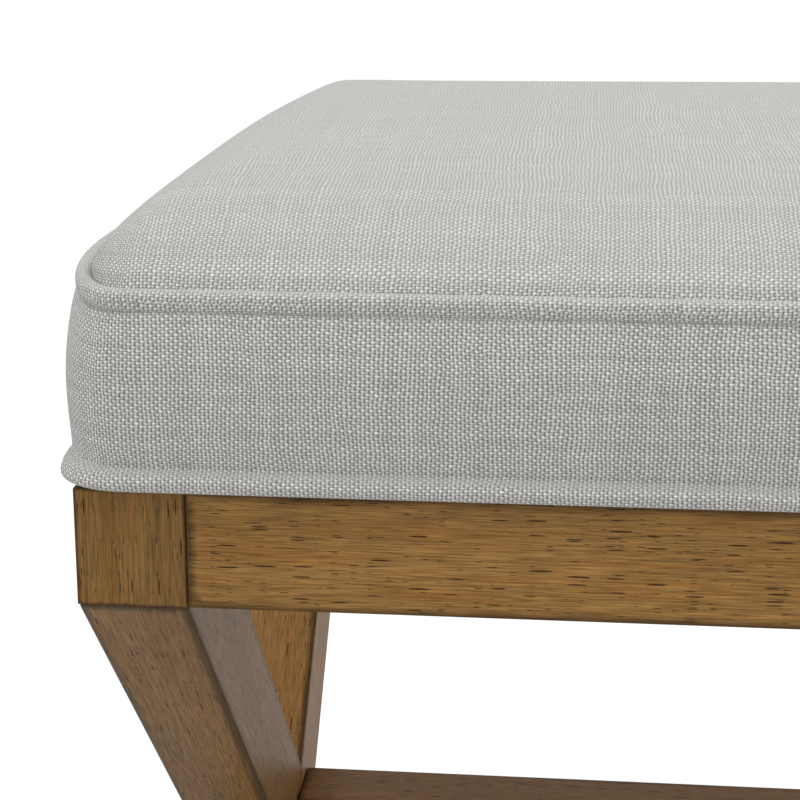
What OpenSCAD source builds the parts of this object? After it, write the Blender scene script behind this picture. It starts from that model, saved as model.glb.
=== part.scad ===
// Bench-length upholstered ottoman on crossed legs. The seat is a hinged lid over a shallow well.
// Millimetres. X runs along the seat, Y from front to back, Z up; the origin is on the floor,
// midway along and across the frame.

/* [Frame] */
// Length over the corner blocks
frame_l = 1100; // [600:10:1400]
// Depth over the front and back aprons
frame_d = 410; // [380:5:460]
// Height of the aprons and corner blocks
apron_h = 35; // [33:1:50]
// Thickness of the aprons
apron_t = 20; // [20:1:26]
// Face width of the leg and stretcher stock
stock_w = 42; // [38:1:46]
// Thickness of the leg and stretcher stock
stock_t = 32; // [30:1:38]
// Slope of the legs above the floor, in degrees
leg_angle = 45; // [43:1:47]
// Thickness of a foot glide
glide_t = 4; // [3:0.5:6]
// Radius of a foot glide
glide_r = 13; // [10:1:15]
// Length of a foot glide's pin
glide_pin_l = 12; // [8:1:16]

/* [Storage panel] */
// Thickness of the panel
panel_t = 6; // [4:0.5:7]
// Depth of the groove that holds the panel
groove_d = 7; // [5:1:8]
// Height of the groove above the bottom of the aprons
groove_z = 5; // [4:0.5:5.5]
// Play of the panel in its grooves
panel_play = 0.2; // [0.1:0.05:0.4]

/* [Joints of the frame] */
// Radius of the dowels in the legs and the stretcher
leg_dowel_r = 4; // [3:0.5:4]
// Spacing of two dowels in a leg, and in a stretcher end
leg_dowel_gap = 16; // [13:1:17]
// Depth of a leg dowel in its corner block
leg_dowel_up = 18; // [12:1:18]
// Depth of a leg dowel in its leg
leg_dowel_down = 25; // [15:1:28]
// Radius of the dowels in the aprons
apron_dowel_r = 3; // [2:0.5:3]
// Length of a dowel in an apron, half of it in the block
apron_dowel_l = 28; // [20:1:29]
// Radius of the stretcher bolt
bolt_r = 3; // [2.5:0.5:4]
// Reach of the stretcher bolt into the stretcher
bolt_reach = 44; // [36:1:60]
// Radius of the bolt head
bolt_head_r = 6; // [5:0.5:7]
// Radius of the washer and of the counterbore round it
washer_r = 8; // [7.5:0.5:9]
// Thickness of the washer
washer_t = 1.5; // [1:0.5:2]
// Thickness of the plug that hides the bolt head
plug_t = 4; // [2:0.5:5]
// Radius of the cross-drilled barrel nut
nut_r = 5; // [5:0.5:6]
// Length of the barrel nut
nut_l = 16; // [14:1:20]

/* [Corner brackets] */
// Length of each leg of a bracket
bracket_l = 32; // [26:1:34]
// Height of a bracket
bracket_h = 18; // [14:1:18]
// Thickness of the bracket plate
bracket_t = 2; // [1.5:0.5:3]
// Shank radius of a wood screw
screw_r = 1.75; // [1.5:0.25:2]
// Length of a wood screw
screw_l = 13; // [10:1:14]

/* [Lid frame] */
// Thickness of the lid rails
rail_t = 20; // [16:1:24]
// Thickness of the seat board
board_t = 9; // [6:1:12]
// Thickness of the foam pad at its edge, between the seat board and the welt
pad_edge_t = 4.2; // [3:0.2:10]
// Thickness of the lining under the seat board
lining_t = 3; // [2:0.5:4]
// How far the lid rails stand in from the face of the frame
rail_inset = 2; // [1:0.5:4]
// Plan radius of the corners of the lid frame
lid_corner_r = 40; // [34:1:42]
// Leg of the triangular glue blocks in the lid corners
glue_block = 36; // [26:1:44]
// Gap between the closed lid and the aprons
lid_gap = 0.6; // [0.6:0.1:1.2]

/* [Upholstery] */
// Thickness of the cover fabric
fabric_t = 1.2; // [0.8:0.1:1.6]
// Overhang of the rolled bottom edge beyond the frame
lip_over = 8.5; // [8.5:0.5:12]
// Height of the rolled bottom edge
lip_h = 10; // [8:0.5:14]
// Plan radius of the rolled edge at the corners
lip_corner_r = 28; // [24:1:32]
// Overhang of the boxing above the rolled edge
boxing_low = 5.8; // [5:0.1:6.5]
// Overhang of the boxing under the welt
boxing_high = 5.5; // [5:0.5:6.5]
// Plan radius of the welt at the corners
welt_corner_r = 46; // [42:1:50]
// Radius of the welt cord
welt_r = 3; // [2.5:0.25:3.5]
// Height from the top of the aprons to the top of the welt
side_h = 57; // [55:1:70]
// Rise of the crown above the middle of the welt, at the end of its shoulder
shoulder_h = 25; // [15:1:35]
// Width of the crown's rounded shoulder
shoulder_w = 44; // [30:1:60]
// Further rise from the shoulder to the middle of the seat
dome_h = 3; // [1:0.5:8]
// Width of the cover turned up inside the lid
turn_up = 15; // [12:1:20]

/* [Hinges] */
// Length of a hinge
hinge_l = 70; // [60:1:90]
// Distance of the outer hinges from the ends of the frame
hinge_end = 170; // [120:10:200]
// Radius of the hinge barrel
barrel_r = 3.8; // [3.5:0.1:3.9]
// Radius of the hinge pin
pin_r = 2; // [1.5:0.1:2.4]
// Running clearance round the pin in the moving knuckle
pin_play = 0.05; // [0.02:0.01:0.1]
// Gap between knuckles, and between the barrel and what it passes
knuckle_gap = 0.4; // [0.3:0.05:0.6]
// Thickness of a hinge leaf
leaf_t = 1.6; // [1.2:0.1:2]
// Depth of the lid's leaf over the apron
leaf_d = 17; // [14:1:18]
// Height of the frame's leaf down the back of the apron
leaf_h = 24; // [20:1:26]
// Clearance round a leaf in its recess
leaf_play = 0.4; // [0.3:0.1:0.6]

/* [Lid bumpers] */
// Radius of a bumper
bumper_r = 5; // [4:0.5:6]
// Depth of a bumper in its block
bumper_in = 2; // [1.5:0.5:3]
// Gap between a bumper and the closed lid
bumper_gap = 0.3; // [0.3:0.05:0.5]

/* [Hidden] */
$fn = 48;
soft_fn = 32;

// Colours
wood = "peru";
ply = "burlywood";
steel = "silver";
linen = "gainsboro";
foam = "lemonchiffon";

// Crossed legs
leg_cut = stock_w / sin(leg_angle);
cross_h = (frame_d - leg_cut) * tan(leg_angle);
cross_z = glide_t + cross_h / 2;
apron_z = glide_t + cross_h;
top_z = apron_z + apron_h;
end_x = frame_l / 2 - stock_t / 2;
inner_x = frame_l / 2 - stock_t;
block_y = frame_d / 2 - leg_cut / 2;
long_apron_l = frame_l - 2 * stock_t;
short_apron_l = frame_d - 2 * leg_cut;
leg_dowel_y = frame_d / 2 - leg_cut * 0.64;
lap_t = stock_t / 2;

// Apron dowels, above the groove
dowel_low = groove_z + panel_t + 1 + apron_dowel_r;
dowel_high = apron_h - 5 - apron_dowel_r;
dowel_zs = [dowel_low, dowel_high];

// Stretcher bolts, from the counterbore in the outer face to the barrel nut
bolt_head_h = 4;
counterbore = plug_t + bolt_head_h + washer_t;
bolt_hole_r = bolt_r + 0.5;
nut_x = inner_x - bolt_reach + nut_r + 3;
stretcher_dowel_l = 30;
stretcher_dowel_in = 12;

// Bracket screws, midway between the dowels
screw_head_r = 3.4;
screw_head_h = 1.6;
screw_z = apron_z + (dowel_low + dowel_high) / 2;
screw_places = [bracket_l * 0.42, bracket_l * 0.82];

// Lid, with the rails as high as the seat leaves room for
rail_h = side_h - 2 * welt_r - pad_edge_t - board_t - fabric_t - lid_gap;
rail_z = top_z + lid_gap + fabric_t;
board_z = rail_z + rail_h;
board_top = board_z + board_t;
lid_l = frame_l - 2 * rail_inset;
lid_d = frame_d - 2 * rail_inset;
cover_z = top_z + lid_gap;
welt_z = top_z + side_h - welt_r;
boxing_top = welt_z - welt_r;
roll_top = cover_z + lip_h;
roll_r = lip_over - boxing_low;
edge_play = 0.1;

// Hinge axis, behind the back apron and under the overhanging edge of the seat
hinge_y = frame_d / 2 + lip_over - 0.6 - barrel_r;
hinge_z = cover_z - knuckle_gap - barrel_r;
hinge_x = frame_l / 2 - hinge_end;
hinge_xs = [-hinge_x, 0, hinge_x];
knuckle_l = (hinge_l - 2 * knuckle_gap) / 3;
leaf_z = cover_z - leaf_t;
leaf_screw_xs = [-hinge_l * 0.36, 0, hinge_l * 0.36];
leaf_screw_y = frame_d / 2 - leaf_d * 0.55;
leaf_screw_z = hinge_z - leaf_h * 0.62;
flush_head_h = 1.2;

// Crown of the seat: height of its edge above the middle of the welt, and half width of its ridge
edge_rise = 0.4;
ridge_r = 12;

// Staples, in the cover where it is turned up inside the lid
staple_w = 10;
staple_t = 0.7;
staple_leg = 6;
staple_pitch = 60;
staple_z = rail_z + turn_up * 0.55;

// Moves its children to each corner of the frame, mirrored so that +X and +Y point outwards
module corners(x, y) {
    for (sx = [-1, 1], sy = [-1, 1])
        scale([sx, sy, 1]) translate([x, y, 0]) children();
}

// Solid block from one corner to the opposite one
module span(a, b) {
    translate(a) cube(b - a);
}

// Round bar or hole along X, Y or Z from a starting point
module along_x(r, l) { rotate([0, 90, 0]) cylinder(r = r, h = l); }
module along_y(r, l) { rotate([-90, 0, 0]) cylinder(r = r, h = l); }

// Rounded rectangle in plan
module rounded(l, d, r) {
    square([l, d - 2 * r], center = true);
    square([l - 2 * r, d], center = true);
    for (sx = [-1, 1], sy = [-1, 1])
        translate([sx * (l / 2 - r), sy * (d / 2 - r)]) circle(r = r);
}

// Sweeps a flat section round a rounded rectangle. The section's X points outwards, its Y up.
module swept(l, d, r) {
    for (k = [0:3]) {
        across = k % 2 == 0 ? l : d;
        along = k % 2 == 0 ? d : l;
        rotate([0, 0, 90 * k]) {
            translate([across / 2, 0, 0]) rotate([90, 0, 0])
                linear_extrude(height = along - 2 * r, center = true) children();
            translate([across / 2 - r, along / 2 - r, 0])
                rotate_extrude(angle = 90) translate([r, 0]) children();
        }
    }
}

// ---- Frame ----

// Side view of a leg whose top is at the front (side = -1) or at the back (side = 1)
module leg_outline(side) {
    foot = -side * frame_d / 2;
    top = side * frame_d / 2;
    polygon([[top, apron_z], [top - side * leg_cut, apron_z], [foot, glide_t],
        [foot + side * leg_cut, glide_t]]);
}

// Stands a side view up in the Y-Z plane, from x0 to x1
module upright(x0, x1) {
    translate([x0, 0, 0]) rotate([90, 0, 90]) linear_extrude(height = x1 - x0) children();
}

// Leg at the right-hand end, halved where the pair cross: the back leg keeps the inner half
module leg(side) {
    color(wood) difference() {
        upright(inner_x, inner_x + stock_t) leg_outline(side);
        upright(side < 0 ? inner_x - 1 : inner_x + lap_t, side < 0 ? inner_x + lap_t : frame_l)
            intersection() { leg_outline(-1); leg_outline(1); }
        bolt_hole();
        leg_dowel_pair(side);
        stretcher_dowel_pair();
        glide_pin(side);
    }
}

module bolt_hole() {
    translate([inner_x - 1, 0, cross_z]) along_x(bolt_hole_r, stock_t + 2);
    translate([frame_l / 2 - counterbore, 0, cross_z]) along_x(washer_r, counterbore + 1);
}

module leg_dowel_pair(side) {
    for (k = [-0.5, 0.5])
        translate([end_x + k * leg_dowel_gap, side * leg_dowel_y, apron_z - leg_dowel_down])
            cylinder(r = leg_dowel_r, h = leg_dowel_down + leg_dowel_up);
}

module stretcher_dowel_pair() {
    for (k = [-0.5, 0.5])
        translate([inner_x + stretcher_dowel_in - stretcher_dowel_l, 0, cross_z + k * (leg_dowel_gap + 8)])
            along_x(leg_dowel_r, stretcher_dowel_l);
}

module glide_pin(side) {
    translate([end_x, -side * block_y, 0]) cylinder(r = screw_r, h = glide_t + glide_pin_l);
}

module both_ends() {
    for (sx = [-1, 1]) scale([sx, 1, 1]) children();
}

module leg_front_left() { scale([-1, 1, 1]) leg(-1); }
module leg_front_right() { leg(-1); }
module leg_back_left() { scale([-1, 1, 1]) leg(1); }
module leg_back_right() { leg(1); }

// Dowels from an apron's right-hand end into the block, at the back of the frame
module long_apron_dowels() {
    for (z = dowel_zs)
        translate([inner_x - apron_dowel_l / 2, frame_d / 2 - apron_t / 2, apron_z + z])
            along_x(apron_dowel_r, apron_dowel_l);
}

module short_apron_dowels() {
    for (z = dowel_zs)
        translate([frame_l / 2 - apron_t / 2, short_apron_l / 2 - apron_dowel_l / 2, apron_z + z])
            along_y(apron_dowel_r, apron_dowel_l);
}

// Wood screw pointing along +Z, with its head under the origin plane
module screw(l = screw_l) {
    translate([0, 0, -screw_head_h]) cylinder(r = screw_head_r, h = screw_head_h);
    cylinder(r = screw_r, h = l);
}

// Screws of the bracket in the back right corner
module corner_screws() {
    for (s = screw_places) {
        translate([inner_x - s, frame_d / 2 - apron_t - bracket_t, screw_z]) rotate([-90, 0, 0]) screw();
        translate([inner_x - bracket_t, frame_d / 2 - apron_t - s, screw_z]) rotate([0, 90, 0]) screw();
    }
}

module corner_block() {
    color(wood) difference() {
        translate([end_x, block_y, apron_z + apron_h / 2])
            cube([stock_t, leg_cut, apron_h], center = true);
        leg_dowel_pair(1);
        long_apron_dowels();
        short_apron_dowels();
        corner_screws();
        translate([end_x, block_y, top_z - bumper_in]) cylinder(r = bumper_r, h = bumper_in + 1);
    }
}

module corner_block_front_left() { scale([-1, -1, 1]) corner_block(); }
module corner_block_front_right() { scale([1, -1, 1]) corner_block(); }
module corner_block_back_left() { scale([-1, 1, 1]) corner_block(); }
module corner_block_back_right() { corner_block(); }

// Groove for the storage panel along both aprons of a pair
module panel_groove() {
    span([-frame_l / 2 + apron_t - groove_d, -frame_d / 2 + apron_t - groove_d, apron_z + groove_z],
        [frame_l / 2 - apron_t + groove_d, frame_d / 2 - apron_t + groove_d,
            apron_z + groove_z + panel_t + panel_play]);
}

// Back apron; the front one has the same shape without the recesses for the hinges
module long_apron(recessed) {
    color(wood) difference() {
        span([-long_apron_l / 2, frame_d / 2 - apron_t, apron_z], [long_apron_l / 2, frame_d / 2, top_z]);
        panel_groove();
        both_ends() {
            long_apron_dowels();
            corner_screws();
        }
        if (recessed) {
            for (x = hinge_xs)
                span([x - hinge_l / 2 - leaf_play, frame_d / 2 - leaf_d - leaf_play, leaf_z - leaf_play],
                    [x + hinge_l / 2 + leaf_play, frame_d, frame_l]);
            frame_leaf_screws();
        }
    }
}

module apron_front() { scale([1, -1, 1]) long_apron(false); }
module apron_back() { long_apron(true); }

module short_apron() {
    color(wood) difference() {
        span([frame_l / 2 - apron_t, -short_apron_l / 2, apron_z], [frame_l / 2, short_apron_l / 2, top_z]);
        panel_groove();
        for (sy = [-1, 1]) scale([1, sy, 1]) short_apron_dowels();
    }
}

module apron_left() { scale([-1, 1, 1]) short_apron(); }
module apron_right() { short_apron(); }

module stretcher() {
    color(wood) difference() {
        span([-inner_x, -stock_t / 2, cross_z - stock_w / 2], [inner_x, stock_t / 2, cross_z + stock_w / 2]);
        both_ends() {
            stretcher_dowel_pair();
            translate([inner_x - bolt_reach, 0, cross_z]) along_x(bolt_hole_r, bolt_reach + 1);
            translate([nut_x, 0, cross_z - stock_w]) cylinder(r = nut_r, h = stock_w + nut_l / 2);
        }
    }
}

module storage_panel() {
    reach_x = frame_l / 2 - apron_t + groove_d - panel_play;
    reach_y = frame_d / 2 - apron_t + groove_d - panel_play;
    z0 = apron_z + groove_z;
    color(ply) difference() {
        span([-reach_x, -reach_y, z0], [reach_x, reach_y, z0 + panel_t]);
        corners(0, 0)
            span([inner_x - panel_play, frame_d / 2 - leg_cut - panel_play, z0 - 1],
                [frame_l, frame_d, z0 + panel_t + 1]);
    }
}

module leg_dowels() {
    color(ply) both_ends() for (side = [-1, 1]) leg_dowel_pair(side);
}

module apron_dowels() {
    color(ply) corners(0, 0) {
        long_apron_dowels();
        short_apron_dowels();
    }
}

module stretcher_dowels() {
    color(ply) both_ends() stretcher_dowel_pair();
}

module stretcher_bolts() {
    head_x = frame_l / 2 - plug_t - bolt_head_h;
    color(steel) both_ends() difference() {
        union() {
            translate([head_x, 0, cross_z]) along_x(bolt_head_r, bolt_head_h);
            translate([inner_x - bolt_reach + 1, 0, cross_z])
                along_x(bolt_r, head_x - inner_x + bolt_reach);
        }
        translate([head_x + 1.5, 0, cross_z]) rotate([0, 90, 0]) cylinder(r = 2.9, h = bolt_head_h, $fn = 6);
    }
}

module stretcher_washers() {
    color(steel) both_ends() translate([frame_l / 2 - counterbore, 0, cross_z]) difference() {
        along_x(washer_r - 0.2, washer_t);
        translate([-1, 0, 0]) along_x(bolt_r, washer_t + 2);
    }
}

module barrel_nuts() {
    color(steel) both_ends() difference() {
        translate([nut_x, 0, cross_z - nut_l / 2]) cylinder(r = nut_r, h = nut_l);
        translate([nut_x - 2 * nut_r, 0, cross_z]) along_x(bolt_r, 4 * nut_r);
    }
}

module bolt_plugs() {
    color(wood) both_ends() translate([frame_l / 2 - plug_t, 0, cross_z]) along_x(washer_r, plug_t);
}

module corner_brackets() {
    color(steel) corners(0, 0) difference() {
        z0 = screw_z - bracket_h / 2;
        translate([inner_x, frame_d / 2 - apron_t, z0]) union() {
            span([-bracket_l, -bracket_t, 0], [0, 0, bracket_h]);
            span([-bracket_t, -bracket_l, 0], [0, 0, bracket_h]);
        }
        corner_screws();
    }
}

module bracket_screws() {
    color(steel) corners(0, 0) corner_screws();
}

module foot_glides() {
    color("dimgray") both_ends() for (side = [-1, 1]) {
        translate([end_x, side * block_y, 0]) cylinder(r = glide_r, h = glide_t);
        glide_pin(side);
    }
}

module lid_bumpers() {
    color("dimgray") corners(end_x, block_y)
        translate([0, 0, top_z - bumper_in]) cylinder(r = bumper_r, h = bumper_in + lid_gap - bumper_gap);
}

// ---- Hinges ----

module frame_leaf_screws() {
    for (x = hinge_xs, dx = leaf_screw_xs)
        translate([x + dx, frame_d / 2 + leaf_t, leaf_screw_z]) rotate([90, 0, 0]) flush_screw();
}

module lid_leaf_screws() {
    for (x = hinge_xs, dx = leaf_screw_xs) translate([x + dx, leaf_screw_y, leaf_z]) flush_screw();
}

// Countersunk screw pointing along +Z, with its head level with the origin plane
module flush_screw() {
    cylinder(r1 = screw_r + flush_head_h, r2 = screw_r, h = flush_head_h);
    cylinder(r = screw_r, h = screw_l);
}

// Leaf down the back of the apron, with the two outer knuckles
module frame_leaf(x) {
    color(steel) translate([x, 0, 0]) difference() {
        union() {
            span([-hinge_l / 2, frame_d / 2, hinge_z - leaf_h],
                [hinge_l / 2, frame_d / 2 + leaf_t, hinge_z - barrel_r - knuckle_gap]);
            for (sx = [-1, 1]) scale([sx, 1, 1]) {
                span([knuckle_l / 2 + knuckle_gap, frame_d / 2, hinge_z - barrel_r - 1],
                    [hinge_l / 2, frame_d / 2 + leaf_t, hinge_z]);
                translate([knuckle_l / 2 + knuckle_gap, hinge_y, hinge_z])
                    along_x(barrel_r, knuckle_l);
            }
        }
        translate([-hinge_l, hinge_y, hinge_z]) along_x(pin_r, 2 * hinge_l);
        translate([-x, 0, 0]) frame_leaf_screws();
    }
}

// Leaf under the lid, with the middle knuckle
module lid_leaf(x) {
    color(steel) translate([x, 0, 0]) difference() {
        union() {
            span([-hinge_l / 2, frame_d / 2 - leaf_d, leaf_z], [hinge_l / 2, frame_d / 2, cover_z]);
            span([-knuckle_l / 2, frame_d / 2 - 1, leaf_z], [knuckle_l / 2, hinge_y, cover_z]);
            translate([-knuckle_l / 2, hinge_y, hinge_z]) along_x(barrel_r, knuckle_l);
        }
        translate([-hinge_l, hinge_y, hinge_z]) along_x(pin_r + pin_play, 2 * hinge_l);
        translate([-x, 0, 0]) lid_leaf_screws();
    }
}

module hinge_frame_leaf_left() { frame_leaf(hinge_xs[0]); }
module hinge_frame_leaf_middle() { frame_leaf(hinge_xs[1]); }
module hinge_frame_leaf_right() { frame_leaf(hinge_xs[2]); }
module hinge_lid_leaf_left() { lid_leaf(hinge_xs[0]); }
module hinge_lid_leaf_middle() { lid_leaf(hinge_xs[1]); }
module hinge_lid_leaf_right() { lid_leaf(hinge_xs[2]); }

module hinge_pins() {
    reach = hinge_l / 2 + knuckle_gap;
    color(steel) for (x = hinge_xs) translate([x - reach, hinge_y, hinge_z]) along_x(pin_r, 2 * reach);
}

module hinge_frame_screws() { color(steel) frame_leaf_screws(); }
module hinge_lid_screws() { color(steel) lid_leaf_screws(); }

// ---- Lid frame ----

module lid_column(z0, z1) {
    translate([0, 0, z0]) linear_extrude(height = z1 - z0) rounded(lid_l, lid_d, lid_corner_r);
}

module long_rail() {
    color(ply) difference() {
        intersection() {
            lid_column(rail_z, board_z);
            span([-lid_l / 2, lid_d / 2 - rail_t, rail_z], [lid_l / 2, lid_d / 2, board_z]);
        }
        lid_leaf_screws();
        board_screws();
    }
}

module lid_rail_front() { scale([1, -1, 1]) long_rail(); }
module lid_rail_back() { long_rail(); }

module short_rail() {
    color(ply) intersection() {
        lid_column(rail_z, board_z);
        span([lid_l / 2 - rail_t, -lid_d / 2 + rail_t, rail_z], [lid_l / 2, lid_d / 2 - rail_t, board_z]);
    }
}

module lid_rail_left() { scale([-1, 1, 1]) short_rail(); }
module lid_rail_right() { short_rail(); }

// Triangular blocks glued into the corners of the lid frame
module lid_corner_blocks() {
    color(ply) corners(lid_l / 2 - rail_t, lid_d / 2 - rail_t)
        translate([0, 0, rail_z + turn_up]) linear_extrude(height = rail_h - lining_t - turn_up)
            polygon([[0, 0], [-glue_block, 0], [0, -glue_block]]);
}

module seat_board() {
    color(ply) difference() {
        lid_column(board_z, board_top);
        for (sy = [-1, 1]) scale([1, sy, 1]) board_screws();
    }
}

// Screws from the top of the seat board down into the back rail
module board_screws() {
    count = 5;
    pitch = (lid_l - 4 * lid_corner_r) / (count - 1);
    for (k = [0:count - 1])
        translate([(k - (count - 1) / 2) * pitch, lid_d / 2 - rail_t / 2, board_top])
            rotate([180, 0, 0]) flush_screw_long();
}

module flush_screw_long() {
    cylinder(r1 = screw_r + flush_head_h, r2 = screw_r, h = flush_head_h);
    cylinder(r = screw_r, h = board_t + screw_l);
}

module seat_board_screws() {
    color(steel) for (sy = [-1, 1]) scale([1, sy, 1]) board_screws();
}

module lid_lining() {
    x = lid_l / 2 - rail_t - panel_play;
    y = lid_d / 2 - rail_t - panel_play;
    color(linen) span([-x, -y, board_z - lining_t], [x, y, board_z]);
}

// ---- Upholstery ----

// Share of the way up the boxing, from the rolled edge to the welt, its overhang and its corner radius
function boxing_part(z) = (z - roll_top) / (boxing_top - roll_top);
function boxing_over(z) = boxing_low + (boxing_high - boxing_low) * boxing_part(z);
function boxing_corner_r(z) = lip_corner_r - roll_r
    + (welt_corner_r + boxing_high - welt_r - lip_corner_r + roll_r) * boxing_part(z);

// Rounded plate that overhangs the frame by the same amount all round
module plate(over, r, z, t, fn = soft_fn) {
    translate([0, 0, z]) linear_extrude(height = t)
        rounded(frame_l + 2 * over, frame_d + 2 * over, r, $fn = fn);
}

// The solid that fills the boxing between two heights, drawn in from its outer face
module boxing_solid(z0, z1, inset) {
    skin = 0.01;
    hull() {
        plate(boxing_over(z0) - inset, boxing_corner_r(z0) - inset, z0, skin);
        plate(boxing_over(z1) - inset, boxing_corner_r(z1) - inset, z1 - skin, skin);
    }
}

module foam_wrap() {
    inset = fabric_t + edge_play;
    color(foam) difference() {
        union() {
            plate(boxing_low - inset, lip_corner_r - roll_r - inset, rail_z, roll_top - rail_z);
            boxing_solid(roll_top, board_top, inset);
        }
        lid_column(rail_z - 1, board_top + 1);
    }
}

module boxing() {
    color(linen) difference() {
        boxing_solid(roll_top, boxing_top, 0);
        boxing_solid(roll_top - 1, boxing_top + 1, fabric_t);
    }
}

// Rolled bottom edge of the cover, turned under the lid frame and up its inner face
module cover_edge() {
    inner_l = lid_l - 2 * rail_t;
    inner_d = lid_d - 2 * rail_t;
    under = boxing_low - fabric_t;
    color(linen) difference() {
        union() {
            swept(frame_l + 2 * lip_over, frame_d + 2 * lip_over, lip_corner_r) roll_section();
            plate(under, lip_corner_r - lip_over + under, cover_z, fabric_t, $fn);
            translate([0, 0, cover_z]) linear_extrude(height = turn_up)
                square([inner_l, inner_d], center = true);
        }
        translate([0, 0, cover_z - 1]) linear_extrude(height = turn_up + 2)
            square([inner_l - 2 * fabric_t, inner_d - 2 * fabric_t], center = true);
        lid_leaf_screws();
    }
}

// Section of the rolled edge, with its outermost point at X = 0 and its underside at the bottom of the lid
module roll_section() {
    depth = lip_over - boxing_low + fabric_t;
    intersection() {
        translate([-depth, cover_z]) square([depth, lip_h]);
        union() {
            translate([-depth, cover_z]) square([depth - roll_r, lip_h]);
            translate([-depth, cover_z + roll_r]) square([depth, lip_h - 2 * roll_r]);
            for (z = [cover_z + roll_r, roll_top - roll_r]) translate([-roll_r, z]) circle(r = roll_r);
        }
    }
}

// Height of the crown at a distance in from the edge of the top panel
function shoulder(t) = pow(1 - pow(1 - min(t / shoulder_w, 1), 1.8), 1 / 1.8);
function crown_z(t) = welt_z + shoulder_h * shoulder(t) + dome_h * (1 - pow(1 - t / (frame_d / 2), 2));

// Points round a rounded rectangle at one height
function ring(l, d, r, z) = [for (k = [0:3], a = [0:15:90])
    let (sx = (k == 0 || k == 3) ? 1 : -1, sy = k < 2 ? 1 : -1, turn = 90 * k + a)
    [sx * (l / 2 - r) + r * cos(turn), sy * (d / 2 - r) + r * sin(turn), z]];

// Crown of the seat as a stack of rings, drawn in on every side
module crown(inset) {
    edge_r = welt_corner_r - welt_r;
    steps = [0, 0.02, 0.07, 0.14, 0.23, 0.36, 0.55, 0.77, 1];
    ts = concat([for (s = steps) s * shoulder_w],
        [for (s = [0.25, 0.55, 1]) shoulder_w + s * (frame_d / 2 - ridge_r - 1 - shoulder_w)]);
    rings = concat([ring(frame_l - 2 * inset, frame_d - 2 * inset, edge_r - inset, welt_z - inset)],
        [for (t = ts) ring(frame_l - 2 * (t + inset), frame_d - 2 * (t + inset),
            max(edge_r - t - inset, ridge_r - 2), crown_z(t) + edge_rise - inset)]);
    n = len(rings[0]);
    last = len(rings) - 1;
    polyhedron(points = [for (r = rings) each r], faces = concat(
        [[for (i = [0:n - 1]) i], [for (i = [n - 1:-1:0]) last * n + i]],
        [for (j = [0:last - 1], i = [0:n - 1])
            [j * n + i, (j + 1) * n + i, (j + 1) * n + (i + 1) % n, j * n + (i + 1) % n]]));
}

module foam_pad() {
    over = boxing_high - fabric_t - edge_play;
    color(foam) union() {
        plate(over, welt_corner_r + over - welt_r, board_top, boxing_top - board_top);
        plate(-fabric_t, welt_corner_r - welt_r - fabric_t, boxing_top - 1, welt_r + 1 - fabric_t);
        crown(fabric_t);
    }
}

module top_panel() {
    color(linen) difference() {
        crown(0);
        crown(fabric_t);
    }
}

module welt_cord() {
    color(linen) swept(frame_l + 2 * welt_r, frame_d + 2 * welt_r, welt_corner_r)
        translate([0, welt_z]) circle(r = welt_r - edge_play, $fn = 24);
}

// One staple through the turned-up cover, its legs pointing along +Y
module staple() {
    span([-staple_w / 2, -staple_t, -staple_t / 2], [staple_w / 2, 0, staple_t / 2]);
    for (sx = [-1, 1]) translate([sx * (staple_w - staple_t) / 2, staple_leg / 2, 0])
        cube([staple_t, staple_leg + staple_t, staple_t], center = true);
}

module staples() {
    y = lid_d / 2 - rail_t - fabric_t;
    x = lid_l / 2 - rail_t - fabric_t;
    long_count = floor((2 * x - 2 * glue_block) / staple_pitch);
    short_count = floor((2 * y - 2 * glue_block) / staple_pitch);
    color(steel) for (s = [0, 180]) rotate([0, 0, s]) {
        for (k = [0:long_count])
            translate([(k - long_count / 2) * staple_pitch, y, staple_z]) staple();
        for (k = [0:short_count])
            translate([x, (k - short_count / 2) * staple_pitch, staple_z]) rotate([0, 0, -90]) staple();
    }
}

corner_block_front_left();
corner_block_front_right();
corner_block_back_left();
corner_block_back_right();
apron_front();
apron_back();
apron_left();
apron_right();
leg_front_left();
leg_front_right();
leg_back_left();
leg_back_right();
stretcher();
storage_panel();
leg_dowels();
apron_dowels();
stretcher_dowels();
stretcher_bolts();
stretcher_washers();
barrel_nuts();
bolt_plugs();
corner_brackets();
bracket_screws();
foot_glides();
lid_bumpers();
hinge_frame_leaf_left();
hinge_frame_leaf_middle();
hinge_frame_leaf_right();
hinge_pins();
hinge_frame_screws();
hinge_lid_leaf_left();
hinge_lid_leaf_middle();
hinge_lid_leaf_right();
hinge_lid_screws();
lid_rail_front();
lid_rail_back();
lid_rail_left();
lid_rail_right();
lid_corner_blocks();
seat_board();
seat_board_screws();
lid_lining();
foam_wrap();
foam_pad();
cover_edge();
boxing();
top_panel();
welt_cord();
staples();
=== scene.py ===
# %% [markdown]
# # A bench-length ottoman whose seat is a hinged lid
# The joiner's model gives every part its place. This script dresses that model: it rounds and
# stains the timber, stretches a linen cover over the seat, and finishes the hardware and the
# inside of the lid. Lengths are metres, X runs along the seat, Y from front to back, Z up.

# %% Load the model
import math
from collections import namedtuple

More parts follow.
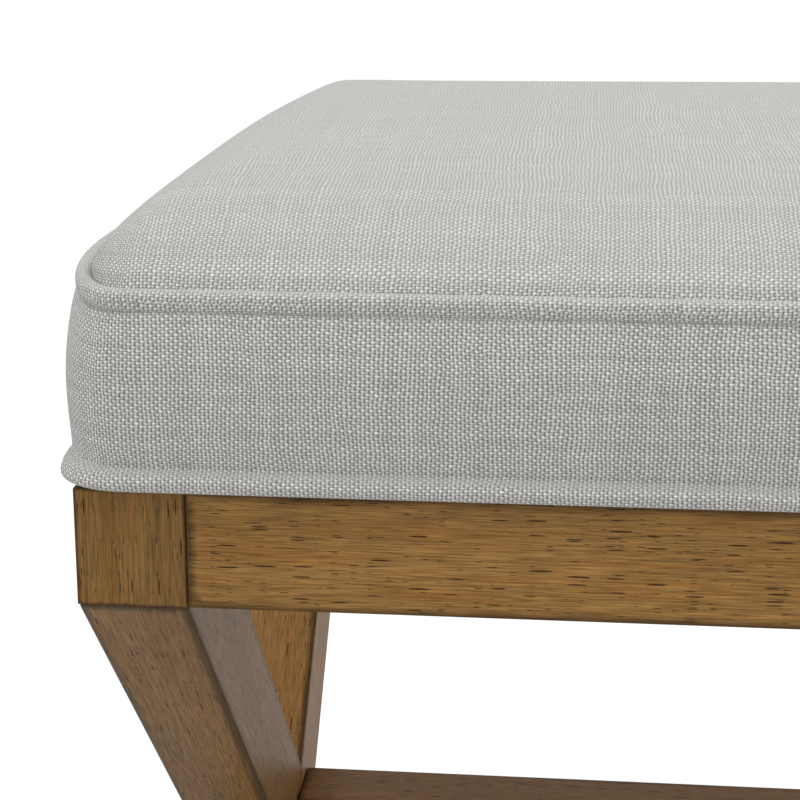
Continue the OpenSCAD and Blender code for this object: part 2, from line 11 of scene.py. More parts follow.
import bmesh
import bpy
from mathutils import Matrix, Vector


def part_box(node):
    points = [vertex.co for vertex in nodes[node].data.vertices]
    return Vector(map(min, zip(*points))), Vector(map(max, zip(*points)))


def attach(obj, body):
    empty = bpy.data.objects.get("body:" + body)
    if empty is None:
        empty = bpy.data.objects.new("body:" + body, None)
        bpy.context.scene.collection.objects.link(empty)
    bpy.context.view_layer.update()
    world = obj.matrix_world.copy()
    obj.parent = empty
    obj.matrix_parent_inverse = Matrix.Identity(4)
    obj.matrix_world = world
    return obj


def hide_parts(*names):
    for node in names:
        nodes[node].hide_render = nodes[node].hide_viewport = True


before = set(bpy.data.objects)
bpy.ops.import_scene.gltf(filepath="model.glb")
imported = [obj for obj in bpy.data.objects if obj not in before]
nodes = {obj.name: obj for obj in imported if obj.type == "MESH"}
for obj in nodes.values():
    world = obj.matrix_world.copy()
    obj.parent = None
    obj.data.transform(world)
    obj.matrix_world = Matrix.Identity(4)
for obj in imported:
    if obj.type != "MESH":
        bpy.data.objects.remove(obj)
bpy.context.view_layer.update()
print(len(nodes), "parts loaded")

# %% [markdown]
# ## Camera
# A long lens held low makes the corner read as a product picture: the edges of the frame stay
# nearly parallel, and the crossed legs show under the seat. The camera stands 0.55 m above the
# floor, in front of the left corner. Pitch and yaw are turned into a rotation with two axes,
# which keeps the horizon level.

# %% Camera
PITCH, YAW = math.radians(14.622), math.radians(5.688)
camera_data = bpy.data.cameras.new("camera")
camera_data.lens = 85
camera_data.sensor_width = 36
camera = bpy.data.objects.new("camera", camera_data)
camera.location = (-0.40763, -0.70215, 0.54793)
camera.rotation_euler = (math.pi / 2 - PITCH, 0, YAW)
bpy.context.scene.collection.objects.link(camera)
bpy.context.scene.camera = camera
print("camera", tuple(camera.location))

# %% [markdown]
# ## Materials in one small function
# A node tree is a list of boxes and cables. One function that adds a box, sets its values and
# plugs its inputs keeps a whole finish readable from top to bottom. Colours are written as
# hex codes, as a paint chart gives them, and turned into the linear values a shader needs.


# %% Helpers for colours and nodes
def colour(code):
    channels = [int(code[i : i + 2], 16) / 255 for i in (1, 3, 5)]
    linear = [c / 12.92 if c <= 0.04045 else ((c + 0.055) / 1.055) ** 2.4 for c in channels]
    return (*linear, 1)


def finish_tree(name):
    material = bpy.data.materials.new(name)
    material.use_nodes = True
    material.node_tree.nodes.clear()
    return material, material.node_tree


def add(tree, kind, inputs=None, **settings):
    """Adds a node. A number, colour or vector sets a socket; a socket of another node plugs in."""
    box = tree.nodes.new("ShaderNode" + kind)
    for key, value in settings.items():
        setattr(box, key, value)
    for key, value in (inputs or {}).items():
        if isinstance(value, bpy.types.NodeSocket):
            tree.links.new(value, box.inputs[key])
        else:
            box.inputs[key].default_value = value
    return box


def sum_of(tree, kind, a, b=0.0, c=None):
    """One Math node: a, b and c are numbers or sockets."""
    values = {0: a, 1: b} if c is None else {0: a, 1: b, 2: c}
    return add(tree, "Math", values, operation=kind).outputs[0]


def blend_of(tree, amount, low, high, kind="MIX"):
    """One colour mix: low where amount is 0, high where it is 1."""
    box = add(tree, "Mix", {"Factor": amount}, data_type="RGBA", blend_type=kind)
    for socket, value in ((box.inputs[6], low), (box.inputs[7], high)):
        if isinstance(value, bpy.types.NodeSocket):
            tree.links.new(value, socket)
        else:
            socket.default_value = value
    return box.outputs[2]


def spread(tree, value, low, high, to_low=0.0, to_high=1.0):
    """Stretches a span of values onto another one."""
    box = add(
        tree,
        "MapRange",
        {"Value": value, "From Min": low, "From Max": high, "To Min": to_low, "To Max": to_high},
    )
    return box.outputs[0]


def close_tree(tree, **inputs):
    """The shader and the output of a finish."""
    named = {key.replace("_", " "): value for key, value in inputs.items()}
    shader = add(tree, "BsdfPrincipled", named)
    add(tree, "OutputMaterial", {"Surface": shader.outputs[0]})


print("helpers ready")

# %% [markdown]
# ## Studio
# The room is a white sweep: a big pale floor, even light from all sides, one wide soft box above.
# Light Path lets the eye, and anything glossy, see a clean white room, while the timber and the
# cloth are lit at a plain level. The floor adds its white glow to plain paint, and not in its
# place, so it still shows the soft shadow under the ottoman.

# %% World and floor
bpy.context.scene.view_settings.view_transform = "Standard"
world = bpy.data.worlds.new("studio")
world.use_nodes = True
bpy.context.scene.world = world
room = world.node_tree
room.nodes.clear()
ROOM_LIGHT, ROOM_IN_GLOSS = 0.78, 0.05
FLOOR_PAINT, FLOOR_GLOW, FLOOR_IN_GLOSS, FLOOR_REACH = 0.6, 0.55, 0.08, 12
WHITE = (1, 1, 1, 1)


def white_for_the_eye(tree, eye, gloss):
    """A strength that the eye sees through air or glass, and one that glossy surfaces see."""
    rays = add(tree, "LightPath").outputs
    direct = sum_of(tree, "MAXIMUM", rays["Is Camera Ray"], rays["Is Transmission Ray"])
    direct = sum_of(tree, "MULTIPLY", direct, eye)
    return sum_of(tree, "MULTIPLY_ADD", rays["Is Glossy Ray"], gloss, direct)


extra = white_for_the_eye(room, 1 - ROOM_LIGHT, ROOM_IN_GLOSS)
strength = sum_of(room, "ADD", extra, ROOM_LIGHT)
glow = add(room, "Background", {"Color": WHITE, "Strength": strength})
add(room, "OutputWorld", {"Surface": glow.outputs[0]})

paint, tree = finish_tree("white_floor_paint")
matt = add(tree, "BsdfDiffuse", {"Color": (FLOOR_PAINT, FLOOR_PAINT, FLOOR_PAINT, 1)})
extra = white_for_the_eye(tree, FLOOR_GLOW, FLOOR_IN_GLOSS)
shine = add(tree, "Emission", {"Color": WHITE, "Strength": extra})
both = add(tree, "AddShader", {0: matt.outputs[0], 1: shine.outputs[0]})
add(tree, "OutputMaterial", {"Surface": both.outputs[0]})

shape = bmesh.new()
bmesh.ops.create_grid(shape, x_segments=1, y_segments=1, size=FLOOR_REACH)
floor_mesh = bpy.data.meshes.new("studio_floor")
shape.to_mesh(floor_mesh)
shape.free()
floor_mesh.materials.append(paint)
floor = bpy.data.objects.new("studio_floor", floor_mesh)
bpy.context.scene.collection.objects.link(floor)
print("floor laid")

# %% [markdown]
# One wide soft box hangs over the middle of the seat and looks straight down at it. It gives the
# top its light and leaves a soft shadow on the floor.


# %% Lamps
def soft_box(name, place, aim, width, depth, watts):
    light = bpy.data.lights.new(name, "AREA")
    light.shape = "RECTANGLE"
    light.size, light.size_y, light.energy = width, depth, watts
    lamp = bpy.data.objects.new(name, light)
    lamp.location = place
    lamp.rotation_euler = (Vector(aim) - Vector(place)).to_track_quat("-Z", "Y").to_euler()
    bpy.context.scene.collection.objects.link(lamp)


soft_box("overhead_box", (0, 0, 2.6), (0, 0, 0.4), width=3.0, depth=2.4, watts=14)
print("lamps hung")

# %% [markdown]
# ## Timber
# The frame is an open-pored hardwood, stained golden brown, with the arrises softened and
# darkened by painted shade. Its figure has four scales: slow tone changes a hand wide, fine
# fibre lines about a millimetre apart, short black pores a few millimetres long, and painted
# shade along the edges. Every pattern is the same recipe of noise drawn out along the grain,
# so only the grain's direction changes from piece to piece: up the blocks, along the rails,
# up the slope of the legs.


# %% Timber finish
WOOD_DEEP, WOOD_LIGHT, WOOD_WARM = "#886638", "#9b7441", "#96622b"
# The edge colour is painted shade, laid along the arrises.
WOOD_ARRIS_SHADE, WOOD_PORE = "#46321d", "#1f150c"
# How long along the grain and how wide across it the figure's features are.
BROAD_FIGURE, STREAK, FIBRE = (0.16, 0.017), (0.05, 0.003), (0.010, 0.00032)
# The same for two sizes of pore, with the largest share of its cell that a pore fills.
PORES = ((0.011, 0.0009, 0.34), (0.005, 0.0005, 0.30))


def timber(name, turn, tone=1.0, gloss=0.15):
    """turn lays the grain, which runs along X in the recipe, along the piece; tone is how light
    the board is drawn: the stain it took, and on the stretcher and the legs painted shade and light
    as well; gloss is how much it was rubbed up."""
    material, tree = finish_tree(name)
    place = add(tree, "TexCoord").outputs["Object"]
    grain = add(tree, "Mapping", {"Vector": place, "Rotation": turn}).outputs[0]

    def drawn(along, across):
        """Coordinates for a pattern whose features are that long and that wide, in metres."""
        scale = (1 / along, 1 / across, 1 / across)
        return add(tree, "Mapping", {"Vector": grain, "Scale": scale}).outputs[0]

    broad, streak, fibre = (
        add(tree, "TexNoise", {"Vector": drawn(*size), "Scale": 1, "Detail": detail}).outputs["Fac"]
        for size, detail in ((BROAD_FIGURE, 3), (STREAK, 3), (FIBRE, 2))
    )
    body = blend_of(tree, spread(tree, broad, 0.3, 0.7), colour(WOOD_DEEP), colour(WOOD_LIGHT))
    body = blend_of(tree, spread(tree, streak, 0.5, 0.75, 0, 0.6), body, colour(WOOD_WARM))
    lines = spread(tree, fibre, 0.25, 0.75, 0.50 * tone, 1.42 * tone)
    lines = add(tree, "CombineColor", {0: lines, 1: lines, 2: lines}).outputs[0]
    body = blend_of(tree, 1.0, body, lines, "MULTIPLY")

    open_pore = None
    for along, across, most in PORES:
        cell = add(tree, "TexVoronoi", {"Vector": drawn(along, across), "Scale": 1})
        size = add(tree, "SeparateColor", {0: cell.outputs["Color"]}).outputs[0]
        reach = spread(tree, size, 0.35, 1.0, 0.0, most)
        hole = spread(tree, sum_of(tree, "SUBTRACT", reach, cell.outputs["Distance"]), 0, 0.06)
        open_pore = hole if open_pore is None else sum_of(tree, "MAXIMUM", open_pore, hole)
    body = blend_of(tree, sum_of(tree, "MULTIPLY", open_pore, 0.85), body, colour(WOOD_PORE))

    # Painted shade: the arrises are darkened from the edge attribute, a little unevenly along the
    # streaks.
    edge = add(tree, "Attribute", attribute_name="edge").outputs["Fac"]
    edge = sum_of(tree, "ADD", edge, spread(tree, streak, 0.35, 0.65, -0.22, 0.12))
    edge = spread(tree, edge, 0.3, 0.85, 0, 0.8)
    body = blend_of(tree, edge, body, colour(WOOD_ARRIS_SHADE))

    height = sum_of(tree, "SUBTRACT", fibre, open_pore)
    relief = add(tree, "Bump", {"Height": height, "Strength": 0.3, "Distance": 0.0002})
    rough = spread(tree, fibre, 0.3, 0.7, 0.46, 0.36)
    close_tree(
        tree, Base_Color=body, Roughness=rough, Specular_IOR_Level=gloss, Normal=relief.outputs[0]
    )
    return material


QUARTER = math.pi / 2
grain_long = timber("brushed_hardwood_long", (0, 0, 0), 1.3)
grain_deep = timber("brushed_hardwood_deep", (0, 0, QUARTER), 1.2)
grain_up = timber("brushed_hardwood_up", (0, QUARTER, 0), 0.98)
# The stretcher's lower tone is painted shade: it sits low under the seat.
grain_stretcher = timber("brushed_hardwood_stretcher", (0, 0, 0), 0.9)
print("timber finishes ready")

# %% [markdown]
# ## Easing the edges
# A joiner runs a round-over along every arris that a hand can touch. The model's solids are
# loose triangles, so each is copied, its doubles are merged, and flat faces are dissolved into
# one. Then only the outer edges, those that lie on two outside planes of the piece, are
# bevelled. Cuts a few millimetres in from each outside plane give the painted shade a band along
# the edge, and an attribute called edge, which carries that painted shade, fades from one at the
# arris to nought there.


# %% Rounded copies of the joiner's parts
def outer_planes(vertices, directions):
    """For each direction, the two outside planes of the piece."""
    planes = []
    for direction in directions:
        way = Vector(direction).normalized()
        reach = [v.co.dot(way) for v in vertices]
        planes += [(way, max(reach)), (-way, -min(reach))]
    return planes


SAME_POINT, ON_PLANE, FLAT = 0.00002, 0.00003, math.radians(0.5)


def eased(name, directions, radius, finish, band=0.0035):
    """A copy of a part with its arrises rounded, in place of the part. band is how far the
    painted shade along the edge fades in from the rounding."""
    shape = bmesh.new()
    shape.from_mesh(nodes[name].data)
    bmesh.ops.remove_doubles(shape, verts=shape.verts, dist=SAME_POINT)
    bmesh.ops.dissolve_limit(shape, angle_limit=FLAT, verts=shape.verts, edges=shape.edges)
    planes = outer_planes(shape.verts, directions)

    def on_planes(vertex):
        return {
            i for i, (way, reach) in enumerate(planes) if vertex.co.dot(way) > reach - ON_PLANE
        }

    rims = [e for e in shape.edges if len(on_planes(e.verts[0]) & on_planes(e.verts[1])) > 1]
    bmesh.ops.bevel(
        shape,
        geom=rims,
        offset=radius,
        segments=3,
        profile=0.5,
        affect="EDGES",
        material=-1,
        clamp_overlap=True,
    )
    for way, reach in planes:
        for step in (radius * 1.6, radius + band):
            bmesh.ops.bisect_plane(
                shape,
                geom=shape.faces[:] + shape.edges[:] + shape.verts[:],
                plane_co=way * (reach - step),
                plane_no=way,
                dist=1e-6,
            )
    # The edge attribute is painted shade: one at the arris, fading to nought at the band's cut.
    arris_shade = shape.verts.layers.float.new("edge")
    for vertex in shape.verts:
        depths = sorted(reach - vertex.co.dot(way) for way, reach in planes)
        vertex[arris_shade] = max(0.0, 1.0 - max(0.0, depths[1] - radius * 0.4) / (radius * 0.6 + band))
    mesh = bpy.data.meshes.new(name + "_eased")
    shape.to_mesh(mesh)
    shape.free()
    mesh.materials.append(finish)
    for face in mesh.polygons:
        face.use_smooth = True
    mesh.set_sharp_from_angle(angle=math.radians(35))
    piece = bpy.data.objects.new(name + "_eased", mesh)
    bpy.context.scene.collection.objects.link(piece)
    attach(piece, "frame")
    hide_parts(name)


RAIL_ROUND, BLOCK_ROUND, STRETCHER_ROUND, LEG_ROUND = 0.0011, 0.0005, 0.0012, 0.0013
ALONG, ACROSS, UPWARD = (1, 0, 0), (0, 1, 0), (0, 0, 1)
for side in ("front", "back"):
    eased("apron_" + side, (ALONG, ACROSS, UPWARD), RAIL_ROUND, grain_long)
for side in ("left", "right"):
    eased("apron_" + side, (ALONG, ACROSS, UPWARD), RAIL_ROUND, grain_deep)
for corner in ("front_left", "front_right", "back_left", "back_right"):
    name = "corner_block_" + corner
    eased(name, (ALONG, ACROSS, UPWARD), BLOCK_ROUND, grain_up, band=0.0012)
eased("stretcher", (ALONG, ACROSS, UPWARD), STRETCHER_ROUND, grain_stretcher)
print("rails, blocks and stretcher eased")

# %% [markdown]
# ## Crossed legs
# Each pair of legs is halved together into an X, sloping at 45 degrees. The long faces slope,
# so their outside planes do too, and the grain has to climb the slope. The finish is the
# same recipe with its grain turned about X. The back legs are drawn lighter: painted light on
# their faces, which turn up to the light, where those of the front legs turn down.

# %% Legs
# The back legs are painted lighter than the front legs: painted light on their up-turned faces.
for name, lean, tone in (("leg_front", 1, 0.96), ("leg_back", -1, 1.4)):
    slope = (lean * math.radians(45), 0, QUARTER)
    finish = timber("brushed_hardwood_" + name, slope, tone, gloss=0.28)
    for side in ("left", "right"):
        eased(f"{name}_{side}", (ALONG, UPWARD, (0, lean, 1)), LEG_ROUND, finish)
print("legs eased")

# %% [markdown]
# ## Linen cover: the weave
# The cover is a plain weave of uneven linen-look yarn, with about eight warp and eleven weft
# threads to the centimetre. It is drawn from the cloth's own coordinates, in metres, so that it
# follows the cloth round the corners. A sine across each family of threads gives its round
# backs, and the sine of the other family lifts it over and under. The higher thread shows, and
# the height gives both the relief and a painted shade in the gaps. The deepest painted shade is
# a short pit beside every second crossing, and the pits lie like the joints of brickwork. One
# diagonal is painted a little lighter than the other, as painted shade on one side of the
# crossings. Each thread gets its own tone, and noise along it makes it thick and thin. Where the
# cloth lies flat the light falls straight into the gaps, so the pattern and its painted shade are
# softer there than on the upright sides.


# %% Weave finish
WARP, WEFT = 0.00118, 0.00087
YARN, MIDDLE_TONE = "#dedcd8", 0.87
WARP_ROUND, WEFT_ROUND = 1.5, 0.6
WEFT_LIFT, WARP_LIFT, WARP_RISE = 0.55, -0.45, 0.85
# How far the cloth's threads wander, in metres, and how often that changes per metre.
WANDER = ((22, 0.004), (170, 0.0012))
# Tones from thin yarn to thick; painted shade from low to high, from no pit to a pit and from one
# diagonal to the other; and the share of the pattern that is left where the cloth lies flat.
WEFT_TONE, WARP_TONE, HEIGHT_SHADE = (0.78, 1.26), (0.70, 1.16), (0.38, 1.14)
PIT_SHADE, SLANT_SHADE, FLAT_DEPTH = (1.06, 0.50), (0.90, 1.10), 0.5


def threads(tree, position, other, roundness):
    """One family of threads: which side it shows (a wave that changes sign from thread to
    thread), its round back, and its uneven yarn."""
    number = sum_of(tree, "FLOOR", position)
    tone = add(tree, "TexWhiteNoise", {"W": number}, noise_dimensions="1D").outputs["Value"]
    along, aside = sum_of(tree, "DIVIDE", other, 3.0), sum_of(tree, "MULTIPLY", number, 7.3)
    place = add(tree, "CombineXYZ", {0: along, 1: aside}).outputs[0]
    slub = add(tree, "TexNoise", {"Vector": place, "Scale": 1, "Detail": 3}).outputs["Fac"]
    yarn = sum_of(tree, "MULTIPLY_ADD", tone, 0.3, slub)
    wave = sum_of(tree, "SINE", sum_of(tree, "MULTIPLY", position, math.pi))
    back = sum_of(tree, "POWER", sum_of(tree, "ABSOLUTE", wave), roundness)
    return wave, back, yarn


def weave(name):
    material, tree = finish_tree(name)
    cloth = add(tree, "UVMap", uv_map="cloth").outputs[0]
    for often, shift in WANDER:
        drift = add(tree, "TexNoise", {"Vector": cloth, "Scale": often, "Detail": 1})
        centred = {0: drift.outputs["Color"], 1: (0.5, 0.5, 0.5)}
        drift = add(tree, "VectorMath", centred, operation="SUBTRACT").outputs[0]
        drift = add(tree, "VectorMath", {0: drift, "Scale": shift}, operation="SCALE").outputs[0]
        cloth = add(tree, "VectorMath", {0: cloth, 1: drift}).outputs[0]
    both = add(tree, "SeparateXYZ", {0: cloth}).outputs
    across, along = sum_of(tree, "DIVIDE", both[0], WARP), sum_of(tree, "DIVIDE", both[1], WEFT)
    warp_wave, warp_back, warp_yarn = threads(tree, across, along, WARP_ROUND)
    weft_wave, weft_back, weft_yarn = threads(tree, along, across, WEFT_ROUND)

    lift = sum_of(tree, "MULTIPLY", warp_wave, sum_of(tree, "SIGN", weft_wave))
    weft_height = sum_of(tree, "MULTIPLY_ADD", lift, WEFT_LIFT, weft_back)
    lift = sum_of(tree, "MULTIPLY", weft_wave, sum_of(tree, "SIGN", warp_wave))
    warp_rise = sum_of(tree, "MULTIPLY", warp_back, WARP_RISE)
    warp_height = sum_of(tree, "MULTIPLY_ADD", lift, WARP_LIFT, warp_rise)
    height = sum_of(tree, "MAXIMUM", weft_height, warp_height)
    weft_shows = spread(tree, sum_of(tree, "SUBTRACT", weft_height, warp_height), -0.12, 0.12)

    weft_tone = spread(tree, weft_yarn, 0.3, 1.0, *WEFT_TONE)
    warp_tone = spread(tree, warp_yarn, 0.3, 1.0, *WARP_TONE)
    tone = add(tree, "Mix", {"Factor": weft_shows, "A": warp_tone, "B": weft_tone}).outputs[0]
    # Painted shadow: a dark pit beside every second crossing, in brick order.
    brick = sum_of(tree, "COSINE", sum_of(tree, "MULTIPLY", across, math.pi))
    brick = spread(tree, sum_of(tree, "MULTIPLY", brick, weft_wave), -0.7, 0.7, 0.12, 1.0)
    pit = sum_of(tree, "MULTIPLY", spread(tree, warp_back, 0, 0.9, 1, 0), brick)
    # Painted shade: one diagonal a little lighter than the other.
    slant = sum_of(tree, "MULTIPLY", sum_of(tree, "SUBTRACT", across, along), math.pi)
    slant = sum_of(tree, "COSINE", slant)
    for value, low, high, shades in (
        (height, 0.1, 1.2, HEIGHT_SHADE),
        (pit, 0, 0.9, PIT_SHADE),
        (slant, -1, 1, SLANT_SHADE),
    ):
        tone = sum_of(tree, "MULTIPLY", tone, spread(tree, value, low, high, *shades))

    # The pattern and its painted shade are weaker where the cloth faces up.
    faces = add(tree, "SeparateXYZ", {0: add(tree, "TexCoord").outputs["Normal"]}).outputs[2]
    depth = spread(tree, sum_of(tree, "ABSOLUTE", faces), 0.3, 1.0, 1.0, FLAT_DEPTH)
    contrast = sum_of(tree, "SUBTRACT", tone, MIDDLE_TONE)
    tone = sum_of(tree, "MULTIPLY_ADD", contrast, depth, MIDDLE_TONE)
    shade = add(tree, "CombineColor", {0: tone, 1: tone, 2: tone}).outputs[0]
    body = blend_of(tree, 1.0, colour(YARN), shade, "MULTIPLY")
    relief = add(tree, "Bump", {"Height": height, "Strength": 0.8, "Distance": 0.0003})
    close_tree(
        tree,
        Base_Color=body,
        Roughness=0.9,
        Specular_IOR_Level=0.2,
        Sheen_Weight=0.08,
        Sheen_Roughness=0.5,
        Normal=relief.outputs[0],
    )
    return material


linen = weave("plain_weave_linen")
print("linen woven")

# %% [markdown]
# ## Linen cover: the sides
# The side of the seat is one strip of cloth: sewn to the welt at the top, filled out by foam
# in the middle, nipped in above a rolled edge, then turned under the lid and stapled inside.
# It could be extruded as a tube, but its corners change on the way down, from 30 by 85 mm at
# the seam to a round 24 mm at the roll. So a ring of vertices is made once, and each extrusion
# puts the new ring on its own rounded rectangle. Every vertex keeps its station round the seat,
# and the cloth's coordinates are measured along the straight sides, so the warp stays upright.

# %% Plan of the seat
low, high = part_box("corner_block_front_left")
HALF_L, HALF_D = -low.x, -low.y
TOP_Z = high.z
LONG_STEPS, SHORT_STEPS, CORNER_STEPS = 172, 48, 22
STATIONS = 2 * (LONG_STEPS + SHORT_STEPS + 2 * CORNER_STEPS)
ROUND_THE_SEAT = 4 * (HALF_L + HALF_D)
FINE_CUTS = 240
# A side of an outline: its middle, the way round, half its length with and without what stands
# out from the frame, its corner's size along it, and the turns of the corner that follows.
Side = namedtuple("Side", "middle way steps half plain corner turns")


def even_turns(near, away):
    """Angles that cut a quarter of an ellipse into steps of one length."""
    used = [0.0]
    for k in range(FINE_CUTS):
        angle = (k + 0.5) / FINE_CUTS * QUARTER
        used.append(used[-1] + math.hypot(away * math.sin(angle), near * math.cos(angle)))
    turns, k = [], 0
    for step in range(CORNER_STEPS):
        while used[k + 1] < used[-1] * step / CORNER_STEPS:
            k += 1
        part = (used[-1] * step / CORNER_STEPS - used[k]) / (used[k + 1] - used[k])
        turns.append((k + part) / FINE_CUTS * QUARTER)
    return turns


def outline(level):
    """The four sides of the rounded rectangle of a level. A level is how far it stands out from
    the frame at the long sides and at the ends, and the corner's size along X and Y."""
    over, end_over, corner_x, corner_y = level
    length, depth = HALF_L + end_over, HALF_D + over
    long_side = (LONG_STEPS, length, HALF_L, corner_x, even_turns(corner_x, corner_y))
    short_side = (SHORT_STEPS, depth, HALF_D, corner_y, even_turns(corner_y, corner_x))
    return tuple(
        Side(Vector(middle), Vector(way), *rest)
        for middle, way, rest in (
            ((0, depth, 0), (-1, 0, 0), long_side),
            ((-length, 0, 0), (0, -1, 0), short_side),
            ((0, -depth, 0), (1, 0, 0), long_side),
            ((length, 0, 0), (0, 1, 0), short_side),
        )
    )


def station_place(number, sides):
    """Where a station lies on an outline, and its place along the cloth. Stations run
    anticlockwise from the middle of the back."""
    number = (number + LONG_STEPS / 2) % STATIONS
    cloth_middle = 0.0 if number >= LONG_STEPS / 2 else ROUND_THE_SEAT
    for side, following in zip(sides, sides[1:] + sides[:1]):
        straight = side.half - side.corner
        if number <= side.steps:
            shift = straight * (2 * number / side.steps - 1)
            return side.middle + side.way * shift, cloth_middle + shift
        number -= side.steps
        next_middle = cloth_middle + side.plain + following.plain
        if number < CORNER_STEPS:
            turn, outward = side.turns[int(number)], side.middle.normalized()
            centre = side.middle + side.way * straight - outward * following.corner
            reach = outward * (following.corner * math.cos(turn))
            reach = reach + side.way * (side.corner * math.sin(turn))
            start = cloth_middle + straight
            end = next_middle - (following.half - following.corner)
            return centre + reach, start + (end - start) * number / CORNER_STEPS
        number -= CORNER_STEPS
        cloth_middle = next_middle


print("round the seat", round(ROUND_THE_SEAT, 3), "m of cloth")

# %% [markdown]
# A strip of cloth starts as one circle of vertices, numbered from the middle of the back. The
# number stays with its vertex through every extrusion, and so does its place on the cloth:
# along, measured round the seat, and down, measured from the first ring.


# %% Rings of cloth
def first_ring(shape, level):
    """The first ring of a strip of cloth, on its level: height, over, end over, corner x, y."""
    station = shape.verts.layers.int.new("station")
    for layer in ("along", "down"):
        shape.verts.layers.float.new(layer)
    made = bmesh.ops.create_circle(shape, cap_ends=False, segments=STATIONS, radius=1)["verts"]
    made.sort(key=lambda v: math.atan2(-v.co.x, v.co.y) % (2 * math.pi))
    for number, vertex in enumerate(made):
        vertex[station] = number
    place_ring(shape, made, level, 0.0)
    return made


def place_ring(shape, ring, level, down):
    height, *rest = (value / 1000 for value in level)
    layers, sides = shape.verts.layers, outline(rest)
    for vertex in ring:
        place, along = station_place(vertex[layers.int["station"]], sides)
        vertex.co = place + Vector((0, 0, TOP_Z + height))
        vertex[layers.float["along"]], vertex[layers.float["down"]] = along, down


def next_ring(shape, ring, level, down):
    """Extrudes the last ring and puts the new one on its own level."""
    inside = set(ring)
    rim = {e for v in ring for e in v.link_edges if e.other_vert(v) in inside}
    made = bmesh.ops.extrude_edge_only(shape, edges=sorted(rim, key=lambda e: e.index))["geom"]
    made = [item for item in made if isinstance(item, bmesh.types.BMVert)]
    shape.edges.index_update()
    place_ring(shape, made, level, down)
    return made


def strip_of_cloth(levels):
    """A strip round the seat, ring under ring. down is measured along the cloth."""
    shape = bmesh.new()
    ring, down = first_ring(shape, levels[0]), 0.0
    for before, level in zip(levels, levels[1:]):
        down += math.dist(before[:2], level[:2]) / 1000
        ring = next_ring(shape, ring, level, down)
    return shape, down


def lay_cloth(shape, closing=0.0):
    """Writes the UV map called cloth, in metres. The last station meets the first one at the
    middle of the back. closing is the way round a welt, whose last ring meets its first."""
    layers = shape.verts.layers
    cloth = shape.loops.layers.uv.new("cloth")
    station, along, down = layers.int["station"], layers.float["along"], layers.float["down"]
    for face in shape.faces:
        joins = {v[station] for v in face.verts} == {0, STATIONS - 1}
        meets = closing and max(v[down] for v in face.verts) - min(v[down] for v in face.verts)
        for corner in face.loops:
            u, v = corner.vert[along], corner.vert[down]
            if joins and corner.vert[station] == 0:
                u += ROUND_THE_SEAT
            if meets and meets > closing / 2 and v < closing / 2:
                v += closing
            corner[cloth].uv = (u, v)


def faces_outward(shape, outward):
    """Turns the cloth right side out: outward(face) is a direction away from the stuffing."""
    shape.normal_update()
    if sum(1 if f.normal.dot(outward(f)) > 0 else -1 for f in shape.faces) < 0:
        bmesh.ops.reverse_faces(shape, faces=shape.faces)


def cloth_piece(name, shape, finish):
    mesh = bpy.data.meshes.new(name)
    shape.to_mesh(mesh)
    shape.free()
    mesh.materials.append(finish)
    for face in mesh.polygons:
        face.use_smooth = True
    piece = bpy.data.objects.new(name, mesh)
    bpy.context.scene.collection.objects.link(piece)
    return piece


print("ring helpers ready")

# %% [markdown]
# ## Filling the cover
# Stuffed cloth takes its shape from the push of the foam and the pull of the weave. Cloth
# simulation does both: a light pressure from inside swells the sheet, and the seams are pinned.
# The sheet starts a little slack, a cap keeps each point near its pattern, and the result is
# written into the mesh, so that nothing is left to simulate later.


# %% Swelling
FRAMES = 20


def swell(piece, pinned, pressure, cap):
    """Runs the cloth to its last frame and keeps where each vertex ends, within cap."""
    group = piece.vertex_groups.new(name="pinned")
    group.add(pinned, 1.0, "REPLACE")
    before = [v.co.copy() for v in piece.data.vertices]
    sheet = piece.modifiers.new("sheet", "CLOTH")
    settings = sheet.settings
    settings.quality = 6
    settings.mass = 0.3
    settings.tension_stiffness = settings.compression_stiffness = 25
    settings.shear_stiffness = 10
    settings.bending_stiffness = 2
    settings.use_pressure = True
    settings.uniform_pressure_force = pressure
    settings.vertex_group_mass = "pinned"
    settings.effector_weights.gravity = 0
    sheet.collision_settings.use_collision = False
    sheet.collision_settings.use_self_collision = False
    sheet.point_cache.frame_start, sheet.point_cache.frame_end = 1, FRAMES
    scene = bpy.context.scene
    for number in range(1, FRAMES + 1):
        scene.frame_set(number)
    settled = piece.evaluated_get(bpy.context.evaluated_depsgraph_get())
    after = [v.co.copy() for v in settled.data.vertices]
    piece.modifiers.remove(sheet)
    piece.vertex_groups.remove(group)
    moves = []
    for vertex, old, new in zip(piece.data.vertices, before, after):
        move = new - old
        moves.append(move.length)
        if move.length > cap:
            move *= cap / move.length
        vertex.co = old + move
    scene.frame_set(1)
    moves.sort()
    middle, most = round(moves[len(moves) // 2] * 1000, 2), round(moves[-1] * 1000, 2)
    print(piece.name, "swelled, mm: median", middle, "most", most)


print("swelling ready")

# %% [markdown]
# The side's section is a list of rows in millimetres: height over the frame, then how far it
# stands out at the long sides and at the ends. The foam fills the ends more than the long
# sides. The cloth is held at the fold over the rolled edge and sewn at the seam, so only the
# wall between them swells, from rows drawn a little flatter than they will end.

